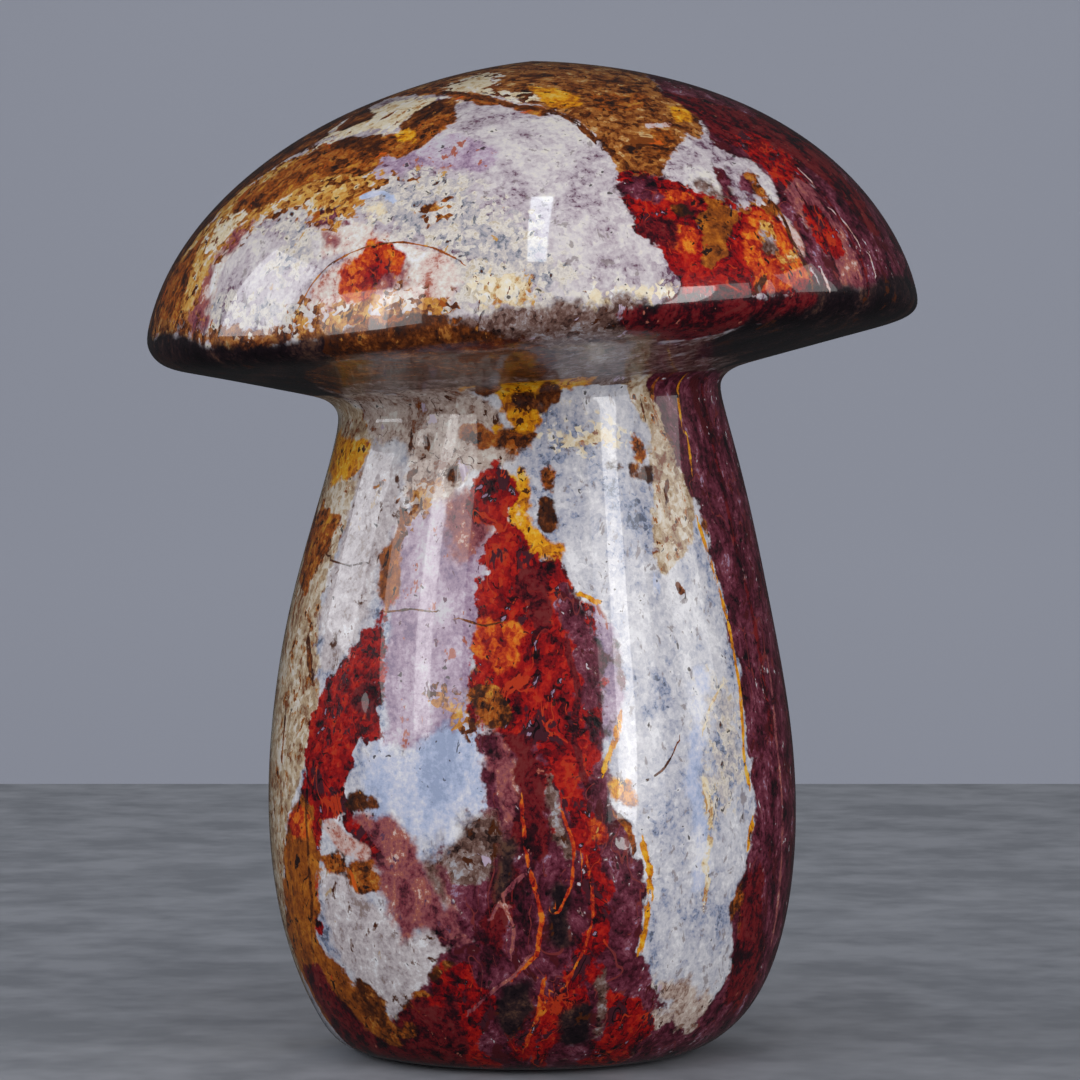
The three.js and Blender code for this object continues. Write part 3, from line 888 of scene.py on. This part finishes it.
# The milk turns warmer from the stem to the cap, between these heights in mm
MILK_TURN = (80.0, 90.0)
DUST = (0.24, 0.19, 0.19)
DUSTED = (0.74, 0.88)
DUST_SHARE = 0.7
# Thin lines waver in width and break here and there
LINE_WIDTH = 1.65
LINE_WAVER = -1.3
LINE_FADE = (-0.15, 0.25)
LINE_BREAKS = (0.16, 0.30)
# Past a line's end its two sides still meet, so a line fades at so many mm from its route
LINE_REACH = (1.0, 0.7)
# Which grains hold a dark speck, how large it is and how dark
SPECKED = (0.90, 1.0)
SPECK_SIZE = 0.55
SPECK_FADE = 0.03
SPECK_STRENGTH = 0.85
# The underside is less well polished
DULL_UNDERSIDE = -0.6


def pattern_fields(recipe, place):
    """The noises that the minerals share, from 0 to 1, and the broken grains."""
    swirled = recipe.drift(place, SWIRL_SIZE, seed=1, reach=SWIRL_REACH, detail=1)
    upright = recipe.vector("MULTIPLY", swirled, GRAIN_STRETCH)
    fields = {
        "small": recipe.cloud(upright, size=2.6, seed=2, detail=5, harshness=0.72, contrast=2.7),
        "middle": recipe.cloud(upright, size=5.5, seed=3, detail=5, harshness=0.68, contrast=2.7),
        "fleck": recipe.cloud(upright, size=1.2, seed=4, detail=3, harshness=0.65),
        "blot": recipe.cloud(upright, size=3.4, seed=5, detail=4, harshness=0.68),
        "fine": recipe.cloud(place, size=0.6, seed=6, detail=2, harshness=0.75),
    }
    stretched = recipe.vector("MULTIPLY", swirled, FLOW_STRETCH)
    flow = recipe.noise(stretched, FLOW_SIZE, seed=9, detail=2, harshness=0.55).outputs[0]
    for name, (level, fading, full), among, kept in (
        ("vein", VEIN, "middle", VEINED),
        ("crack", CRACK, "blot", CRACKED),
    ):
        away = recipe.math("ABSOLUTE", recipe.math("SUBTRACT", flow, level))
        here = recipe.step(fields[among], *kept)
        fields[name] = recipe.math("MULTIPLY", here, recipe.step(away, fading, full))
    breaks = recipe.math("MULTIPLY", fields["fleck"], GLOW_BREAKS)
    fields["glow"] = recipe.math("SUBTRACT", fields["middle"], breaks)
    crumpled = recipe.drift(place, CRUMPLE_SIZE, seed=7, reach=CRUMPLE_REACH, detail=0)
    fields["grain_middle"], fields["chance"] = recipe.grains(crumpled, BROKEN_GRAIN_SIZE)
    swing = recipe.cloud(place, EDGE_NOISE_SIZE, seed=8, detail=4, harshness=0.62)
    fields["ragged"] = recipe.math("MULTIPLY_ADD", swing, 2.0, -1.0)
    # The edge of a mineral in grains runs round whole grains
    offset = recipe.math("SUBTRACT", fields["chance"], 0.5)
    fields["granular"] = recipe.math("MULTIPLY_ADD", offset, GRAIN_SWING, fields["ragged"])
    return fields


def tone(recipe, fields, field, shares):
    """A mineral's light and dark, from 0 to 1."""
    blotches, grain, broken = shares
    total = recipe.math("MULTIPLY", fields[field], blotches)
    total = recipe.math("MULTIPLY_ADD", fields["fine"], grain, total)
    total = recipe.math("MULTIPLY_ADD", fields["chance"], broken, total)
    return recipe.math("MULTIPLY_ADD", total, BLOTCH_CONTRAST, (1 - BLOTCH_CONTRAST) / 2, clamp=True)


def milk_colour(recipe, fields, place):
    """The milky ground that shows between the minerals."""
    height = recipe.node("ShaderNodeSeparateXYZ")
    recipe.feed(height.inputs[0], place)
    field, shares, colours = MILK
    milk = tone(recipe, fields, field, shares)
    upwards = recipe.step(height.outputs[2], *MILK_TURN)
    colour = recipe.blend(upwards, recipe.ramp(milk, colours), recipe.ramp(milk, CAP_MILK))
    dusting = recipe.math("MULTIPLY", recipe.step(fields["fleck"], *DUSTED), DUST_SHARE)
    return recipe.blend(dusting, colour, DUST)


def lay_minerals(recipe, fields, colour):
    """Blends every mineral over the milk, and gives each one's own look as well."""
    edge = mineral_edge_group()
    looks = {}
    for mineral, (raggedness, softness, field, shares, colours, flecks) in MINERALS.items():
        look = recipe.ramp(tone(recipe, fields, field, shares), colours)
        for fleck, start, fleck_colour in flecks:
            shows = recipe.step(fields[fleck], start - FLECK_EDGE, start + FLECK_EDGE)
            look = recipe.blend(shows, look, fleck_colour)
        mask = recipe.node("ShaderNodeGroup", node_tree=edge)
        edge_noise = fields["granular" if shares[2] >= GRAINY_SHARE else "ragged"]
        for name, value in (("depth", recipe.attribute("depth_" + mineral)), ("noise", edge_noise),
                            ("raggedness", raggedness), ("softness", softness)):
            recipe.feed(mask.inputs[name], value)
        colour = recipe.blend(mask.outputs[0], colour, look)
        looks[mineral] = look
    return colour, looks


def draw_lines(recipe, fields, colour, looks):
    """Blends the thin lines over the minerals."""
    wavering = recipe.math("MULTIPLY_ADD", fields["fleck"], LINE_WAVER, LINE_WIDTH)
    unbroken = recipe.step(fields["small"], *LINE_BREAKS)
    for mineral in LINED_MINERALS:
        beside = recipe.math("ABSOLUTE", recipe.attribute("line_" + mineral))
        line = recipe.step(recipe.math("SUBTRACT", wavering, beside), *LINE_FADE)
        line = recipe.math("MULTIPLY", line, unbroken)
        line = recipe.math("MULTIPLY", line, recipe.step(recipe.attribute("near_" + mineral), *LINE_REACH))
        colour = recipe.blend(line, colour, looks[mineral])
    return colour


def add_specks(recipe, fields, colour):
    """Blends small dark specks over everything, in the middle of a few grains."""
    room = recipe.math("MULTIPLY", recipe.step(fields["chance"], *SPECKED), fields["fleck"])
    middle = recipe.math("MULTIPLY", fields["grain_middle"], -1.0)
    speck = recipe.step(recipe.math("MULTIPLY_ADD", room, SPECK_SIZE, middle), -SPECK_FADE, SPECK_FADE)
    return recipe.blend(recipe.math("MULTIPLY", speck, SPECK_STRENGTH), colour, SOOT)


def agate_material():
    material = bpy.data.materials.new("polished_agate")
    material.use_nodes = True
    material.node_tree.nodes.clear()
    recipe = Recipe(material.node_tree)
    place = recipe.scaled(recipe.node("ShaderNodeTexCoord").outputs["Object"], 1 / MM)
    fields = pattern_fields(recipe, place)
    colour = milk_colour(recipe, fields, place)
    colour, looks = lay_minerals(recipe, fields, colour)
    colour = draw_lines(recipe, fields, colour, looks)
    colour = add_specks(recipe, fields, colour)

    shader = recipe.node("ShaderNodeBsdfPrincipled")
    recipe.feed(shader.inputs["Base Color"], colour)
    recipe.feed(shader.inputs["Roughness"], recipe.math("MULTIPLY_ADD", fields["fine"], 0.12, 0.26))
    shader.inputs["Specular IOR Level"].default_value = 0.2
    polish = recipe.math("MULTIPLY_ADD", recipe.attribute("underside"), DULL_UNDERSIDE, 1.0)
    recipe.feed(shader.inputs["Coat Weight"], polish)
    shader.inputs["Coat Roughness"].default_value = 0.035
    shader.inputs["Coat IOR"].default_value = 1.54
    bump = recipe.node("ShaderNodeBump")
    bump.inputs["Strength"].default_value = 0.25
    bump.inputs["Distance"].default_value = 0.0001
    recipe.feed(bump.inputs["Height"], fields["fine"])
    recipe.feed(shader.inputs["Normal"], bump.outputs[0])
    recipe.feed(recipe.node("ShaderNodeOutputMaterial").inputs["Surface"], shader.outputs[0])
    return material


def plain_material(name, colours, size, roughness):
    """A quiet, faintly clouded surface for the table and the backdrop."""
    material = bpy.data.materials.new(name)
    material.use_nodes = True
    material.node_tree.nodes.clear()
    recipe = Recipe(material.node_tree)
    place = recipe.node("ShaderNodeTexCoord").outputs["Object"]
    cloud = recipe.cloud(place, size, 1, detail=3, harshness=0.65)
    shader = recipe.node("ShaderNodeBsdfPrincipled")
    recipe.feed(shader.inputs["Base Color"], recipe.ramp(cloud, colours))
    shader.inputs["Roughness"].default_value = roughness
    recipe.feed(recipe.node("ShaderNodeOutputMaterial").inputs["Surface"], shader.outputs[0])
    return material


def softbox(name, azimuth, elevation, distance, width, height, radiance, colour=(1, 1, 1), roll=0):
    """A soft light round the stone: degrees from the camera's side and above the table, then metres."""
    across, up = radians(azimuth), radians(elevation)
    light = bpy.data.lights.new(name, "AREA")
    light.shape = "RECTANGLE"
    light.size, light.size_y, light.color = width, height, colour
    light.energy = radiance * pi * width * height
    holder = bpy.data.objects.new(name, light)
    bpy.context.collection.objects.link(holder)
    aim = Vector((sin(across) * cos(up), -cos(across) * cos(up), sin(up)))
    holder.location = STONE_MIDDLE + aim * distance
    facing = aim.to_track_quat("Z", "Y")
    facing.rotate(Quaternion(aim, radians(roll)))
    holder.rotation_euler = facing.to_euler()
    return holder


TABLE_MIDDLE = (0, -0.178, 0)
TABLE_SIZE = (1.6, 1.044, 1)
TABLE_GREYS = [(0.2, (0.225, 0.236, 0.262)), (0.8, (0.315, 0.326, 0.358))]
BACKDROP_PLACE = (0, 1.2, 0.3)
BACKDROP_SIZE = 1.3
BACKDROP_GREYS = [(0.2, (0.52, 0.54, 0.62)), (0.8, (0.54, 0.56, 0.64))]
# The room's light on the stone, and as the polish mirrors it
ROOM_LIGHT = 0.30
MIRRORED_ROOM = 0.025


def make_stage():
    bpy.ops.mesh.primitive_plane_add(size=1, location=TABLE_MIDDLE)
    table = bpy.context.object
    table.name = "table"
    table.scale = TABLE_SIZE
    bpy.ops.object.transform_apply(location=True, rotation=True, scale=True)
    table.data.materials.append(plain_material("grey_table", TABLE_GREYS, size=0.016, roughness=0.5))
    # The polish mirrors the dim room, not the table and the backdrop
    table.visible_glossy = False
    bpy.ops.mesh.primitive_plane_add(size=BACKDROP_SIZE, location=BACKDROP_PLACE,
                                     rotation=(radians(90), 0, 0))
    backdrop = bpy.context.object
    backdrop.name = "backdrop"
    bpy.ops.object.transform_apply(location=True, rotation=True, scale=True)
    backdrop.data.materials.append(plain_material("grey_backdrop", BACKDROP_GREYS, size=0.8, roughness=0.9))
    backdrop.visible_glossy = False


def make_camera():
    camera = bpy.data.cameras.new("camera")
    camera.sensor_width = SENSOR_WIDTH
    camera.lens = FOCAL_PIXELS / FRAME_PIXELS * SENSOR_WIDTH
    holder = bpy.data.objects.new("camera", camera)
    holder.location = CAMERA_PLACE
    holder.rotation_euler = (radians(90) - CAMERA_TILT, 0, 0)
    bpy.context.collection.objects.link(holder)
    bpy.context.scene.camera = holder


def make_world():
    """Soft grey light from all round, which the polish hardly mirrors."""
    world = bpy.data.worlds.new("soft_grey")
    world.use_nodes = True
    recipe = Recipe(world.node_tree)
    background = world.node_tree.nodes["Background"]
    background.inputs["Color"].default_value = (0.90, 0.93, 1.0, 1)
    mirrored = recipe.node("ShaderNodeLightPath").outputs["Is Glossy Ray"]
    strength = recipe.math("MULTIPLY_ADD", mirrored, MIRRORED_ROOM - ROOM_LIGHT, ROOM_LIGHT)
    recipe.feed(background.inputs["Strength"], strength)
    bpy.context.scene.world = world


def make_lights():
    """The panels, windows and strip that the polish mirrors, and fills that it doesn't."""
    softbox("left_panel", -50, 19, 0.75, 0.40, 0.40, 2.2, roll=16)
    softbox("left_core", -47, 19, 0.74, 0.07, 0.40, 3.5, roll=10)
    softbox("right_panel", 49, 11, 0.75, 0.46, 0.50, 1.6)
    softbox("right_core", 46, 11, 0.74, 0.14, 0.50, 5.0, roll=-9)
    softbox("far_left_window", -93, 24, 0.8, 0.33, 0.42, 3.0, (0.92, 0.95, 1.0))
    softbox("overhead_strip", -2, 64, 0.9, 0.075, 0.46, 7.0, (0.80, 0.90, 1.0))
    softbox("far_right_window", 90, 18, 0.8, 0.25, 0.42, 1.4)
    for name, elevation, radiance in (("front_fill", 40, 1.3), ("low_fill", 3, 0.9)):
        fill = softbox(name, 6, elevation, 1.2, 0.8, 0.6, radiance)
        fill.visible_glossy = False
    back = softbox("backdrop_light", 180, 35, 0.9, 0.8, 0.3, 1.5)
    back.rotation_euler = (radians(-60), 0, 0)
    back.visible_glossy = False
    bpy.context.scene.view_settings.view_transform = "Standard"


make_camera()
stone = make_stone()
places = np.array([vertex.co for vertex in stone.data.vertices]) / MM
surface = BVHTree.FromPolygons([vertex.co for vertex in stone.data.vertices],
                               [face.vertices for face in stone.data.polygons])
make_attributes(stone, places, *mineral_depths(surface, places))
sink_pits(stone, surface)
stone.data.materials.append(agate_material())
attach(stone, "root")
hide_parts("agate_mushroom")
make_world()
make_lights()
make_stage()
